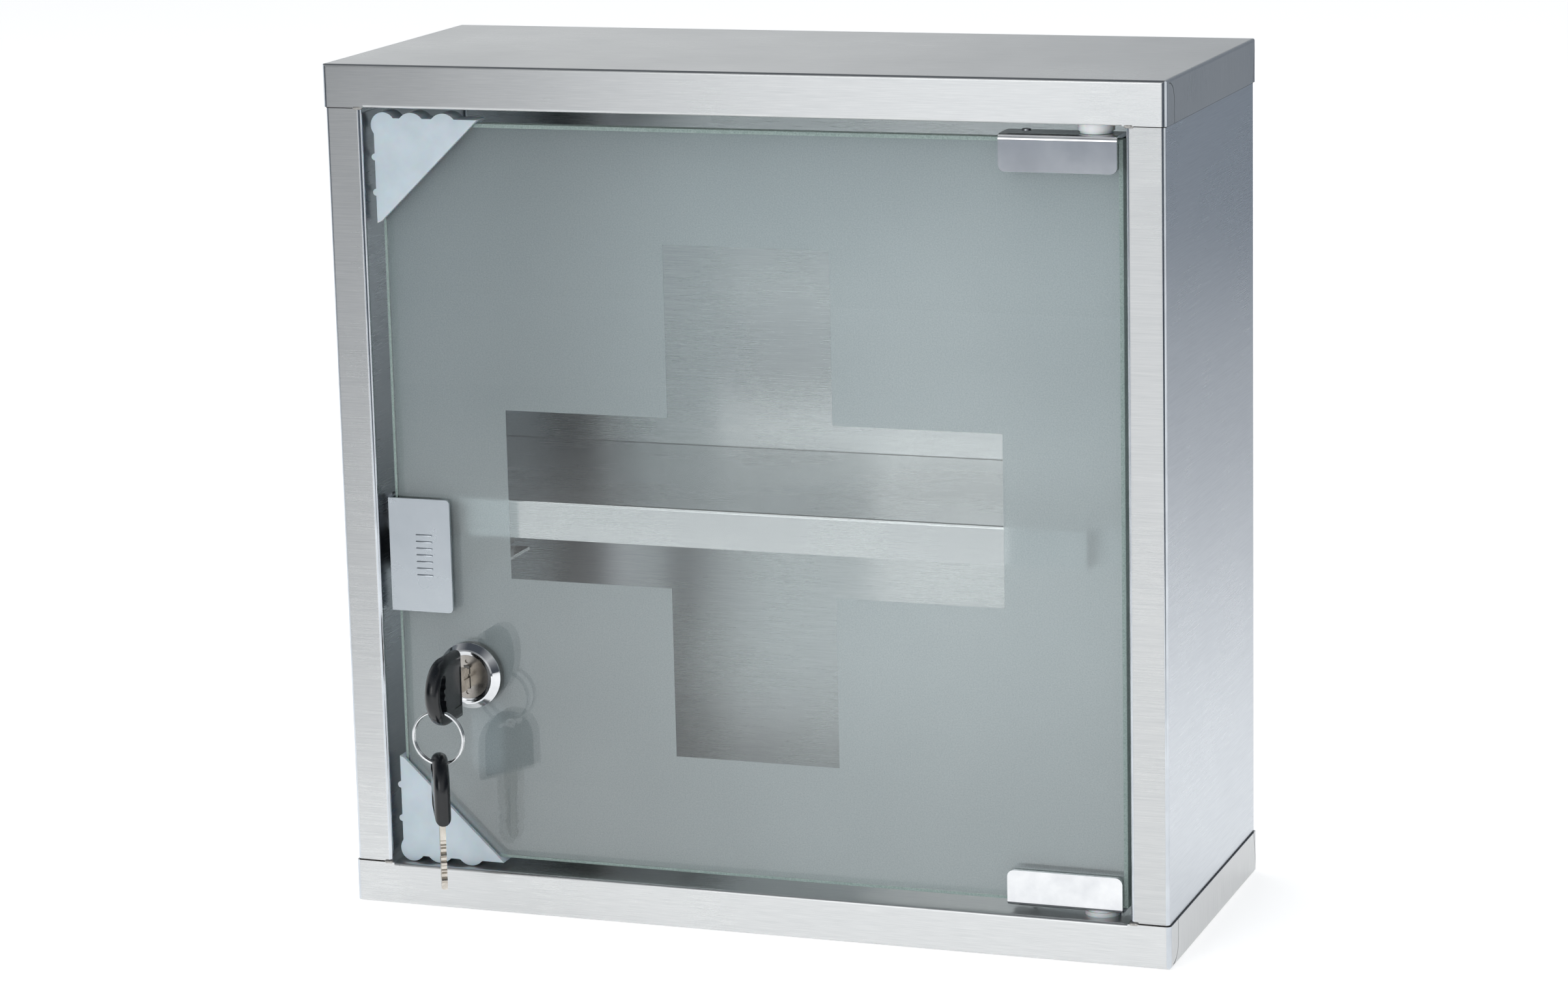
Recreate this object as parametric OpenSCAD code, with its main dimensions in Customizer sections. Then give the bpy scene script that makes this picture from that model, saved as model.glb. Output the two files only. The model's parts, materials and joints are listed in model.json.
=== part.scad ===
// Lockable wall cabinet with a frosted glass door, a push latch and a cam lock with two keys.
// Millimetres. X runs to the right, Y runs back to the wall, Z runs up.
// The origin is the centre of the base. Depths are counted back from the front face.

/* [Cabinet] */
// Width over the caps
cab_w = 300; // [280:5:360]
// Height over the caps
cab_h = 300; // [290:5:340]
// Depth from the front flange to the wall
cab_d = 120; // [115:5:160]
// Thickness of the stainless steel sheet
sheet = 0.6; // [0.5:0.1:0.8]
// Width of each front stile, bends included
stile_w = 14; // [13:0.5:16]
// How far the stile's return flange reaches back
stile_return = 19.4; // [19:0.2:20]
// Outside radius of the vertical corner bends
corner_r = 1.8; // [1.4:0.1:2.4]
// Outside radius of the other bends
bend_r = 1.1; // [0.9:0.1:1.4]
// Height of the flange round each cap
cap_flange = 15; // [15:0.5:16]
// Depth of the lip behind each cap's front flange
cap_lip = 22; // [20:1:26]
// Radius of the four wall holes
wall_hole_r = 3; // [2:0.5:4]
// Spacing of the wall holes across the cabinet
wall_hole_dx = 200; // [160:10:220]
// Spacing of the wall holes up the cabinet
wall_hole_dz = 250; // [200:10:250]

/* [Shelf] */
// Height of the shelf's top face over the base
shelf_z = 147; // [146:1:160]
// Height of the folded edges of the shelf
shelf_edge = 13.5; // [10:0.5:15]
// Gap between the front face and the shelf's front edge
shelf_setback = 14; // [14:1:18]
// Gap kept between the shelf's front corners and the stile returns
shelf_corner_gap = 7; // [6:1:10]

/* [Glass door] */
// Width of the glass
glass_w = 265; // [264:1:266]
// Height of the glass
glass_h = 261; // [260:1:262]
// Thickness of the glass
glass_t = 5; // [4:1:5]
// Depth of the glass face behind the cabinet's front
glass_depth = 5; // [5:0.5:6]
// Shift of the glass centre to the right of the cabinet's centre
glass_shift = 1.3; // [1:0.1:1.5]
// Height of the glass centre
glass_mid_z = 149.2; // [149:0.1:149.5]
// Width of the ground arris round the glass
arris = 1.2; // [0.8:0.1:1.5]
// Length of each bar of the clear cross
cross_len = 180; // [150:5:190]
// Width of each bar of the clear cross
cross_bar = 60; // [40:5:70]

/* [Hinges] */
// Distance of the pivot axis right of the centre
pivot_x = 123.6; // [123:0.1:124]
// Depth of the pivot axis behind the front face
pivot_depth = 10.5; // [10.3:0.1:11]
// Width of a hinge clip
clip_w = 40.5; // [38:0.5:42]
// Height of a hinge clip
clip_h = 12.6; // [12:0.2:14]
// Thickness of the clip's metal
clip_t = 1.4; // [1.2:0.1:1.5]
// Radius of the pivot pin
pin_r = 2.5; // [2:0.25:2.75]
// Radial clearance of the pin in its bush
pin_clearance = 0.05; // [0.02:0.01:0.08]

/* [Lock and keys] */
// Height of the lock's axis over the base
lock_z = 84.7; // [80:0.5:90]
// Distance of the lock's axis left of the centre
lock_x = 104.9; // [104:0.1:106]
// Radius of the chrome rosette
rosette_r = 11.8; // [11:0.1:12.5]
// Radius of the turning plug
plug_r = 7.8; // [7:0.1:8]
// Length of the cam from axis to tip
cam_len = 39; // [37:1:41]
// Radius of a key's bow
bow_r = 12; // [11:0.5:12]
// Thickness of a key's bow
bow_t = 5.6; // [5:0.2:6]
// Length of a key's blade beyond the bow
blade_len = 26; // [25:0.5:27]
// Angle of the hanging key about the vertical
spare_yaw = 27; // [25:1:35]

/* [Push latch] */
// Height of the latch's axis over the base
latch_z = 127.3; // [126:0.1:128]
// Distance of the latch's axis left of the centre
latch_x = 120; // [119:0.5:121]
// How far the plunger can be pushed in
latch_stroke = 3; // [2:0.5:3]

/* [Hidden] */
$fn = 64;
eps = 0.01;

// Cabinet body
front_y = -cab_d / 2;
half_w = cab_w / 2;
body_half_w = half_w - sheet;
opening_half = body_half_w - stile_w + sheet;
body_back = cab_d - sheet;
rear_flange = 12;
side_bend_r = corner_r - sheet + 0.2;
lip_z = cab_h - cap_flange;
bead_r = 0.8;
bead_l = 2;
lip_half = opening_half - 1;
return_gap = 2;
shelf_latch_notch = 135.8;
shelf_hinge_notch = 118.5;
tab_len = 10;
tab_round = 6.8;
slot_w = 0.35;

// Glass door
glass_l = glass_shift - glass_w / 2;
glass_r = glass_shift + glass_w / 2;
glass_b = glass_mid_z - glass_h / 2;
glass_top = glass_mid_z + glass_h / 2;
glass_rear = glass_depth + glass_t;
cross_x = 0.8;
cross_z = 149.6;
film_t = 0.2;
film_edge = 0.3;
film_rear = glass_rear + film_t;

// Hinges
pad_t = 0.6;
clip_front = glass_depth - pad_t - clip_t;
clip_depth = 14;
clip_left = 92;
clip_bend = 2;
clip_gap = 0.1;
clip_top = glass_top + clip_gap + clip_t;
bush_r = 6.1;
bush_waist_r = 5.5;
bush_spigot_r = 4;
bush_play = 0.1;
bush_up = 5.1;
plate_t = 2;
screw_x = [98.6, 108.6];
screw_r = 1.9;

// Latch and strike
strike_t = 1;
liner_t = 0.8;
strike_h = 40.5;
strike_front_w = 23.2;
strike_rear_w = 19;
strike_l = glass_l - liner_t - strike_t;
strike_face = glass_depth - liner_t - strike_t;
strike_back = film_rear + liner_t + strike_t;
housing_front = 17;
housing_len = 50;
housing_w = 16;
housing_h = 18;
plunger_r = 4.5;
magnet_r = 3.6;
magnet_t = 2;
magnet_gap = 0.3;
bore_len = 42;
bore_end_gap = 0.5;
plunger_end = 36;
stem_r = 2.4;
coil_r = 3.4;
coil_wire_r = 0.35;
coil_count = 8;
coil_pitch = 2.2;
coil_rings = 8;
coil_sides = 6;
coil_end_gap = 0.1;
lug_w = 7;
lug_t = 2.5;
bracket_t = 1.2;
bracket_y0 = 24;
bracket_len = 40;
lug_mid = 45;

// Corner guards
guard_t = 1.5;
guard_front = glass_depth - guard_t;
guard_back = film_rear + guard_t;
guard_leg_x = 38.6;
guard_leg_z = 36.6;
lobe_r = 5.4;
lobe_h = 2;
nib_r = 1.2;

// Lock
gasket_t = 0.5;
rosette_front = 1.7;
plug_front = 2.4;
barrel_r = 9;
barrel_end = 19.8;
cam_front = 20;
cam_t = 2;
cam_w = 12;
tail = 6;
nut_af = 24;
nut_t = 3;

// Keys
key_gap = 9.4;
bow_depth = 23;
slot_path_r = 8;
slot_half = 1.8;
slot_angle = 42;
slot_lobe = 1.1;
blade_h = 8;
blade_t = 2;
blade_seat = 2.6;
ring_r = 9.3;
wire_r = 0.5;
ring_play = 0.25;
ring_inner = ring_r - wire_r;
key_y = plug_front - key_gap;
key_slot_y = key_y - (bow_depth - bow_r) - slot_path_r * cos(slot_angle);
key_slot_z = lock_z - slot_path_r * sin(slot_angle) - slot_half;
ring_z = key_slot_z - sqrt(pow(ring_inner, 2) - pow(bow_t / 2, 2)) + ring_play;
spare_half = bow_t / 2 / cos(spare_yaw) + wire_r;
spare_hang_z = ring_z - sqrt(pow(ring_inner, 2) - pow(spare_half, 2)) + ring_play;
spare_shoulder_z = spare_hang_z - slot_path_r - slot_half - (bow_depth - bow_r);

// Place on Y of a point that lies this far behind the front face
function back(depth) = front_y + depth;

// Solids made by pushing a flat outline along one axis. Outlines along X are drawn as (Y, Z),
// outlines along Y as (X, Z), and outlines along Z as (X, Y).
module along_x(from, to) {
    translate([from, 0, 0]) rotate([90, 0, 90]) linear_extrude(to - from) children();
}
module along_y(from, to) {
    translate([0, to, 0]) rotate([90, 0, 0]) linear_extrude(to - from) children();
}
module along_z(from, to) {
    translate([0, 0, from]) linear_extrude(to - from) children();
}

// Rectangle between two corners with rounded corners
module round_rect(x0, y0, x1, y1, r) {
    translate([x0 + r, y0]) square([x1 - x0 - 2 * r, y1 - y0]);
    translate([x0, y0 + r]) square([x1 - x0, y1 - y0 - 2 * r]);
    for (x = [x0 + r, x1 - r], y = [y0 + r, y1 - r]) translate([x, y]) circle(r);
}

// Quarter of a bent sheet, from the +X side to the +Y side of its centre
module quarter_bend(r, t) {
    intersection() {
        difference() {
            circle(r);
            circle(r - t);
        }
        square(r);
    }
}

// Round cross-section of a rod along Y
module rod_y(r, from, to) {
    translate([0, from, 0]) rotate([-90, 0, 0]) cylinder(r = r, h = to - from);
}

module mirror_x_pair() {
    children();
    mirror([1, 0, 0]) children();
}

// Block with bent upper edges and corners, inset from the cabinet's outside
module cap_block(inset, z0) {
    x = half_w - inset;
    y = cab_d / 2 - inset;
    top = cab_h - inset;
    r = bend_r - inset;
    low = z0 - 10;
    intersection() {
        along_z(z0, top) round_rect(-x, -y, x, y, corner_r - inset);
        along_x(-half_w, half_w) round_rect(-y, low, y, top, r);
        along_y(-cab_d / 2, cab_d / 2) round_rect(-x, low, x, top, r);
    }
}

// Outline on (Y, Z) of the gap behind the tab that wraps the front corner
module tab_gap() {
    y0 = back(tab_len);
    z0 = cab_h - tab_round - 1;
    translate([y0, lip_z - 1]) square([slot_w, z0 - lip_z + 1]);
    translate([y0 - tab_round + slot_w, z0]) quarter_bend(tab_round, slot_w);
}

// Outline on (Y, Z) of the slanting gap at the rear corner
module rear_gap() {
    translate([back(cab_d - 4.5), lip_z - 1]) rotate(-12) square([slot_w, cap_flange - 1]);
}

// Folded tray that closes the top, with a lip behind its front flange for the door's bush
module cap_tray() {
    difference() {
        cap_block(0, lip_z);
        cap_block(sheet, lip_z - 1);
        translate([-lip_half, front_y - 1, lip_z - 1]) cube([2 * lip_half, sheet + 1, bend_r + 1]);
        for (x = [-half_w - 1, half_w - 2 * sheet])
            along_x(x, x + 1 + 2 * sheet) {
                tab_gap();
                rear_gap();
            }
    }
    difference() {
        along_x(-lip_half, lip_half) {
            translate([back(bend_r), lip_z + bend_r]) rotate(180) quarter_bend(bend_r, sheet);
            translate([back(bend_r), lip_z]) square([cap_lip - bend_r, sheet]);
            translate([back(cap_lip - sheet), lip_z]) square([sheet, 6]);
        }
        translate([pivot_x, back(pivot_depth), lip_z - 1]) cylinder(r = bush_spigot_r, h = 3);
    }
}

// Outline on (X, Y) of the left side: return flange, stile, side wall and rear flange
module side_outline() {
    x_out = -body_half_w;
    x_in = -opening_half;
    y0 = back(sheet);
    y1 = back(body_back);
    r = side_bend_r;
    translate([x_in - r, y0 + r]) rotate(270) quarter_bend(r, sheet);
    translate([x_in - sheet, y0 + r]) square([sheet, stile_return - sheet - r]);
    translate([x_out + r, y0]) square([x_in - x_out - 2 * r, sheet]);
    translate([x_out + r, y0 + r]) rotate(180) quarter_bend(r, sheet);
    translate([x_out, y0 + r]) square([sheet, y1 - y0 - 2 * r]);
    translate([x_out + r, y1 - r]) rotate(90) quarter_bend(r, sheet);
    translate([x_out + r, y1 - sheet]) square([rear_flange - r, sheet]);
}

// One side of the cabinet. Inside the caps its return flange is cut short of their lips.
module side_panel() {
    cut_x0 = -opening_half - sheet - 0.2;
    difference() {
        along_z(bend_r, cab_h - bend_r) side_outline();
        for (z = [0, lip_z - return_gap])
            translate([cut_x0 - 1, back(bend_r + 0.3), z])
                cube([3, stile_return, cap_flange + return_gap]);
    }
}

module left_side() {
    color("lightsteelblue") side_panel();
}

module right_side() {
    color("lightsteelblue") mirror([1, 0, 0]) side_panel();
}

// Back sheet, spot welded inside the rear flanges, with the wall holes
module back_panel() {
    t0 = body_back - 2 * sheet;
    half = body_half_w - side_bend_r;
    color("silver") difference() {
        translate([-half, back(t0), sheet]) cube([2 * half, sheet, cab_h - 2 * sheet]);
        for (x = [-wall_hole_dx / 2, wall_hole_dx / 2], z = [-wall_hole_dz / 2, wall_hole_dz / 2])
            translate([x, 0, cab_h / 2 + z]) rod_y(wall_hole_r, back(t0 - 1), back(body_back + 1));
    }
}

module top_cap() {
    color("gainsboro") cap_tray();
}

module bottom_cap() {
    color("gainsboro") translate([0, 0, cab_h]) mirror([0, 0, 1]) cap_tray();
}

// Weld beads where the stiles meet the caps' lips, each a short bead with round ends
module weld_bead() {
    rotate([0, 90, 0]) rotate_extrude($fn = 24) {
        translate([0, -bead_l / 2]) square([bead_r, bead_l]);
        for (end = [-1, 1])
            translate([0, end * bead_l / 2]) intersection() {
                circle(r = bead_r, $fn = 24);
                translate([0, -bead_r]) square([bead_r, 2 * bead_r]);
            }
    }
}

module corner_welds() {
    color("dimgray") mirror_x_pair()
        for (z = [cap_flange, lip_z])
            translate([opening_half + 1.2, back(sheet + 0.1), z]) weld_bead();
}

// Fixed shelf with all four edges folded down. Its front corners are notched: on the left for the
// stile's return, and further in on the right for the edge of the opening door.
module shelf_block(inset, z0) {
    x = body_half_w - sheet - inset;
    y0 = back(shelf_setback + inset);
    y1 = back(body_back - 2 * sheet - inset);
    top = shelf_z - inset;
    r = bend_r - inset;
    low = z0 - 10;
    notch = shelf_corner_gap + 1;
    intersection() {
        along_z(z0, top) difference() {
            round_rect(-x, y0, x, y1, corner_r - inset);
            translate([-half_w, y0 - 1]) square([half_w - shelf_latch_notch + inset, notch]);
            translate([shelf_hinge_notch - inset, y0 - 1]) square([half_w, notch + 1]);
        }
        along_x(-x, x) round_rect(y0, low, y1, top, r);
        along_y(y0, y1) round_rect(-x, low, x, top, r);
    }
}

module shelf() {
    z0 = shelf_z - shelf_edge;
    color("silver") difference() {
        shelf_block(0, z0);
        shelf_block(sheet, z0 - 1);
    }
}

// Stepped nylon bush, drawn with its lip face at z = 0 and the clip below
module bush(gap) {
    waist = min(1, gap / 3);
    difference() {
        union() {
            translate([0, 0, -gap + waist]) cylinder(r = bush_r, h = gap - waist);
            translate([0, 0, -gap + bush_play]) cylinder(r = bush_waist_r, h = gap - bush_play);
            translate([0, 0, -bush_play]) cylinder(r = bush_spigot_r, h = bush_play + bush_up);
        }
        translate([0, 0, -gap - 1]) cylinder(r = pin_r + pin_clearance, h = gap + bush_up + 2);
    }
}

module upper_bush() {
    color("white") translate([pivot_x, back(pivot_depth), lip_z]) bush(lip_z - clip_top);
}

module lower_bush() {
    color("white") translate([pivot_x, back(pivot_depth), cap_flange])
        mirror([0, 0, 1]) bush(cab_h - clip_low_top() - cap_flange);
}

// The lower clip is the upper one turned over, so its height is counted down from the cabinet's top
function clip_low_top() = cab_h - (glass_b - clip_gap - clip_t);

// Mirrors the upper door fittings onto the lower edge of the glass
module lower_edge() {
    translate([0, 0, 2 * glass_mid_z]) mirror([0, 0, 1]) children();
}

// Outline on (Y, Z) of the clip's channel over the top edge of the glass
module clip_outline() {
    y0 = back(clip_front);
    y1 = y0 + clip_depth;
    low = clip_top - clip_h;
    difference() {
        union() {
            round_rect(y0, low, y1, clip_top, clip_bend);
            translate([y0, low]) square([clip_depth, clip_h / 2]);
        }
        round_rect(y0 + clip_t, low - 5, y1 - clip_t, clip_top - clip_t, clip_bend - clip_t);
    }
}

module clip_channel() {
    corner = 2.4;
    right = clip_left + clip_w;
    y0 = back(clip_front);
    low = clip_top - clip_h;
    difference() {
        intersection() {
            along_x(clip_left, right) clip_outline();
            along_y(y0, y0 + clip_depth)
                round_rect(clip_left, low, right, clip_top + 10, corner);
            along_z(low, clip_top)
                round_rect(clip_left, y0 - 10, right, y0 + clip_depth, corner);
        }
        translate([pivot_x, back(pivot_depth), clip_top - 3]) cylinder(r = pin_r, h = 5);
        for (x = screw_x)
            translate([x, 0, clip_top - clip_h / 2 - 0.6])
                rod_y(screw_r, y0 + clip_depth - clip_t - 1, y0 + clip_depth + 1);
        translate([screw_x[0], y0 + 11.2, clip_top - 3]) cylinder(r = 1.5, h = 5);
    }
}

module upper_clip() {
    color("slategray") clip_channel();
}

module lower_clip() {
    color("slategray") lower_edge() clip_channel();
}

// Pivot pin riveted in the clip's web, running up through the bush
module pivot_pin() {
    translate([pivot_x, back(pivot_depth), clip_top - clip_t]) {
        cylinder(r = pin_r, h = clip_t + 8.6);
        translate([0, 0, clip_t + 8.6]) cylinder(r1 = pin_r, r2 = pin_r - 0.6, h = 0.6);
    }
}

module upper_pin() {
    color("silver") pivot_pin();
}

module lower_pin() {
    color("silver") lower_edge() pivot_pin();
}

// Clear pads between clip and glass, one before the glass and one behind the film at each hinge
module clip_pad_pair() {
    low = clip_top - clip_h + 0.8;
    for (y = [back(glass_depth - pad_t), back(film_rear)])
        translate([clip_left + 1, y, low]) cube([clip_w - 2, pad_t, glass_top - pad_t - low]);
}

module clip_pads() {
    color("whitesmoke") {
        clip_pad_pair();
        lower_edge() clip_pad_pair();
    }
}

// Steel plate that the two set screws press against the glass
module pressure_plate() {
    low = clip_top - clip_h + 0.8;
    y = back(film_rear + pad_t);
    along_y(y, y + plate_t)
        round_rect(clip_left + 1, low, clip_left + clip_w - 1, glass_top - 0.4, 1.2);
}

module pressure_plates() {
    color("gray") {
        pressure_plate();
        lower_edge() pressure_plate();
    }
}

// Hollow-point screws: two through the rear jaw and one small one in the web
module clip_screw_set() {
    y0 = film_rear + pad_t + plate_t;
    y1 = clip_front + clip_depth + 1.6;
    for (x = screw_x)
        translate([x, 0, clip_top - clip_h / 2 - 0.6]) difference() {
            rod_y(screw_r, back(y0), back(y1));
            rod_y(0.95, back(y1 - 1.5), back(y1 + 1));
        }
    translate([screw_x[0], back(clip_front + 11.2), clip_top - clip_t - 0.4]) difference() {
        cylinder(r = 1.5, h = clip_t + 0.7);
        translate([0, 0, clip_t - 0.2]) cylinder(r = 0.75, h = 3);
    }
}

module clip_screws() {
    color("gray") {
        clip_screw_set();
        lower_edge() clip_screw_set();
    }
}

// Glass with ground front edges and the lock's hole
module glass_pane() {
    y0 = back(glass_depth);
    y1 = back(glass_rear);
    bevel = arris * 0.6;
    color("powderblue", 0.5) difference() {
        intersection() {
            along_x(glass_l, glass_r) polygon([
                [y0, glass_b + arris], [y0 + bevel, glass_b], [y1, glass_b],
                [y1, glass_top], [y0 + bevel, glass_top], [y0, glass_top - arris]
            ]);
            along_z(glass_b, glass_top) polygon([
                [glass_l + arris, y0], [glass_l, y0 + bevel], [glass_l, y1],
                [glass_r, y1], [glass_r, y0 + bevel], [glass_r - arris, y0]
            ]);
        }
        translate([-lock_x, 0, lock_z]) rod_y(barrel_r + 0.3, y0 - 1, y1 + 1);
    }
}

// Frosted film over the back of the glass, with the cross left clear
module frosted_film() {
    y0 = back(glass_rear);
    color("lightcyan", 0.8) along_y(y0, y0 + film_t) difference() {
        translate([glass_l + film_edge, glass_b + film_edge])
            square([glass_w - 2 * film_edge, glass_h - 2 * film_edge]);
        translate([cross_x - cross_len / 2, cross_z - cross_bar / 2]) square([cross_len, cross_bar]);
        translate([cross_x - cross_bar / 2, cross_z - cross_len / 2]) square([cross_bar, cross_len]);
        translate([-lock_x, lock_z]) circle(barrel_r + 0.3);
    }
}

// Plate on (X, Z), square at the glass edge and rounded at its free corners
module flag_plate(left, z0, w, h, r) {
    intersection() {
        round_rect(left - 2 * r, z0, left + w, z0 + h, r);
        translate([left, z0]) square([w, h]);
    }
}

// Channel over the glass edge
module edge_channel(front_w, rear_w, face, rear, left, t, height, r) {
    z0 = latch_z - height / 2;
    y0 = back(face);
    y1 = back(rear);
    along_y(y0, y0 + t) flag_plate(left, z0, front_w, height, r);
    along_y(y1 - t, y1) flag_plate(left, z0, rear_w, height, r);
    translate([left, y0, z0]) cube([t, y1 - y0, height]);
}

// Steel strike over the edge of the glass, with a row of raised grip bars where it is pushed
module strike_plate() {
    bars = 7;
    bar_pitch = 2.4;
    color("silver") {
        edge_channel(
            strike_front_w, strike_rear_w, strike_face, strike_back,
            strike_l, strike_t, strike_h, 1.5
        );
        for (i = [0:bars - 1])
            translate([strike_l + 10.2, back(strike_face), latch_z + (i - (bars - 1) / 2) * bar_pitch])
                rotate([0, 90, 0]) cylinder(r = 0.4, h = 6, $fn = 24);
    }
}

// Soft liner between the strike and the glass
module strike_liner() {
    color("dimgray") edge_channel(
        strike_front_w - strike_t - 0.6, strike_rear_w - strike_t - 0.6, strike_face + strike_t,
        strike_back - strike_t, strike_l + strike_t, liner_t, strike_h - 1, 1
    );
}

// Outline on (X, Z) of the guard at the upper left corner of the glass
module guard_outline() {
    x0 = glass_l - guard_t;
    z1 = glass_top + guard_t;
    cut = 1.6;
    polygon([
        [x0, z1], [x0, z1 - guard_leg_z], [x0 + cut, z1 - guard_leg_z + cut / 2],
        [x0 + guard_leg_x - cut * 1.2, z1 - cut * 1.2], [x0 + guard_leg_x, z1]
    ]);
    for (x = [14, 26])
        intersection() {
            translate([x0 + x, z1 + lobe_h - lobe_r]) circle(lobe_r);
            translate([x0, z1 - 1]) square([guard_leg_x, lobe_h + 1]);
        }
    translate([x0 + 3.6, z1 - 2.6]) circle(4.6);
    for (z = [13.6, 25.9]) translate([x0, z1 - z]) circle(nib_r);
}

// Moulded guard that slips over a corner of the glass, with buffer lobes and edge nibs
module corner_guard() {
    x0 = glass_l - guard_t;
    z1 = glass_top + guard_t;
    rib = 1.6;
    difference() {
        along_y(back(guard_front), back(guard_back)) guard_outline();
        translate([glass_l, back(glass_depth), glass_top - 60]) cube([60, glass_t + film_t, 60]);
        along_y(back(guard_front) - 1, back(guard_front + 0.5))
            translate([x0 + rib + 1.2, z1 - guard_leg_z - 1]) rotate(43.4)
                translate([0, -rib]) square([60, rib]);
    }
}

module upper_corner_guard() {
    color("aliceblue") corner_guard();
}

module lower_corner_guard() {
    color("aliceblue") lower_edge() corner_guard();
}

// Chrome rosette and threaded barrel in one piece
module lock_body() {
    y0 = back(rosette_front);
    seat = back(glass_depth - gasket_t);
    h = seat - y0;
    rim_r = plug_r + 1.5;
    color("lightgray") translate([-lock_x, 0, lock_z]) difference() {
        union() {
            translate([0, y0, 0]) rotate([-90, 0, 0])
                rotate_extrude() polygon([
                    [0, 0], [rim_r, 0], [rim_r + 0.5, 0.35], [rosette_r - 0.3, h - 0.7],
                    [rosette_r, h - 0.4], [rosette_r, h], [0, h]
                ]);
            rod_y(barrel_r, seat - eps, back(barrel_end));
        }
        rod_y(plug_r + 0.08, y0 - 1, back(barrel_end + 1));
        rod_y(plug_r + 0.7, y0 - 1, back(plug_front - 0.1));
    }
}

// Rubber washers before the glass and behind its film
module lock_gaskets() {
    color("black") translate([-lock_x, 0, lock_z])
        for (y = [glass_depth - gasket_t, film_rear])
            difference() {
                rod_y(rosette_r - 0.4, back(y), back(y + gasket_t));
                rod_y(barrel_r + 0.1, back(y - 1), back(y + gasket_t + 1));
            }
}

// Hexagon nut on the barrel behind the rear washer
module lock_nut() {
    y0 = back(film_rear + gasket_t);
    color("silver") translate([-lock_x, 0, lock_z]) difference() {
        intersection() {
            translate([0, y0, 0]) rotate([-90, 0, 0]) cylinder(d = nut_af / cos(30), h = nut_t, $fn = 6);
            rod_y(nut_af / 2 + 1, y0, y0 + nut_t);
        }
        rod_y(barrel_r, y0 - 1, y0 + nut_t + 1);
    }
}

// Outline on (X, Z) of the keyway: a slot with one ridge on each side for the blade's grooves
module keyway() {
    play = 0.2;
    ridge = 0.4;
    low = 0.1;
    high = 1.1;
    x = blade_t / 2 + play;
    z = blade_h / 2 + play;
    polygon([
        [-x, -z], [x, -z], [x, low], [x - ridge, low], [x - ridge, high], [x, high],
        [x, z], [-x, z], [-x, -low], [ridge - x, -low], [ridge - x, -high], [-x, -high]
    ]);
}

// Turning plug with its keyway and a square tail for the cam
module lock_plug() {
    slot_end = 20.6;
    color("rosybrown") translate([-lock_x, 0, lock_z]) difference() {
        union() {
            rod_y(plug_r, back(plug_front), back(barrel_end));
            translate([-tail / 2, back(barrel_end) - eps, -tail / 2])
                cube([tail, cam_front + cam_t - barrel_end + eps, tail]);
        }
        along_y(back(plug_front - 1), back(slot_end - 1.4)) keyway();
        rod_y(1.5, back(slot_end - 0.2), back(cam_front + cam_t + 1));
        for (s = [-1, 1])
            translate([0, back(plug_front), s * (blade_h / 2 + 1.6)]) rod_y(0.7, -1, 0.5);
    }
}

// Flat cam, pointing down while the door is unlocked
module lock_cam() {
    y0 = back(cam_front);
    color("silver") translate([-lock_x, 0, lock_z]) difference() {
        along_y(y0, y0 + cam_t) {
            circle(cam_w / 2 + 1);
            translate([-cam_w / 2, -cam_len + 3]) square([cam_w, cam_len - 3]);
            round_rect(-cam_w / 2, -cam_len, cam_w / 2, -cam_len + 12, 3);
        }
        translate([-tail / 2, y0 - 1, -tail / 2]) cube([tail, cam_t + 2, tail]);
    }
}

// Pan-head screw that holds the cam on the plug
module cam_screw() {
    y0 = back(cam_front + cam_t);
    color("gray") translate([-lock_x, 0, lock_z]) difference() {
        union() {
            rod_y(1.5, back(20.6), y0 + eps);
            rod_y(4.6, y0, y0 + 1.6);
            rod_y(3.6, y0 + 1.6, y0 + 2.4);
        }
        for (a = [0, 90])
            rotate([0, a, 0]) translate([-2, y0 + 1.2, -0.4]) cube([4, 3, 0.8]);
    }
}

// Key drawn with its shoulder at the origin: the blade points along +Y and the bow lies behind.
// The bow is a round head with a rounded rim, joined to straight shoulders.
module bow_body() {
    rim = bow_t / 2;
    mid = bow_r - bow_depth;
    round_r = rim - 0.2;
    intersection() {
        translate([0, mid, 0]) rotate([0, 90, 0]) rotate_extrude() intersection() {
            round_rect(-bow_r, -rim, bow_r, rim, round_r);
            translate([0, -rim]) square([bow_r, bow_t]);
        }
        along_y(-bow_depth, mid) square(3 * bow_r, center = true);
    }
    intersection() {
        along_y(mid, 0) round_rect(-rim, -bow_r, rim, bow_r, round_r);
        along_z(-bow_r, bow_r) round_rect(-rim, -bow_depth, rim, 0, round_r);
    }
}

// Kidney slot round the middle of the bow's head, with three lobes on its inner edge
function slot_outer(steps) = [
    for (i = [0:steps]) let (a = slot_angle * (2 * i / steps - 1))
        (slot_path_r + slot_half) * [sin(a), -cos(a)]
];
function slot_inner(steps) = [
    for (i = [0:steps])
        let (u = 1 - 2 * i / steps, a = slot_angle * u, lobe = (1 + cos(540 * u)) / 2)
        (slot_path_r - slot_half - slot_lobe * lobe) * [sin(a), -cos(a)]
];
function slot_end(side) = [
    for (i = [1:11])
        let (
            turn = side > 0 ? 15 * i : 180 - 15 * i,
            a = side * slot_angle,
            outward = (slot_path_r + slot_half * cos(turn)) * [sin(a), -cos(a)]
        )
        outward + side * slot_half * sin(turn) * [cos(a), sin(a)]
];

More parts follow.
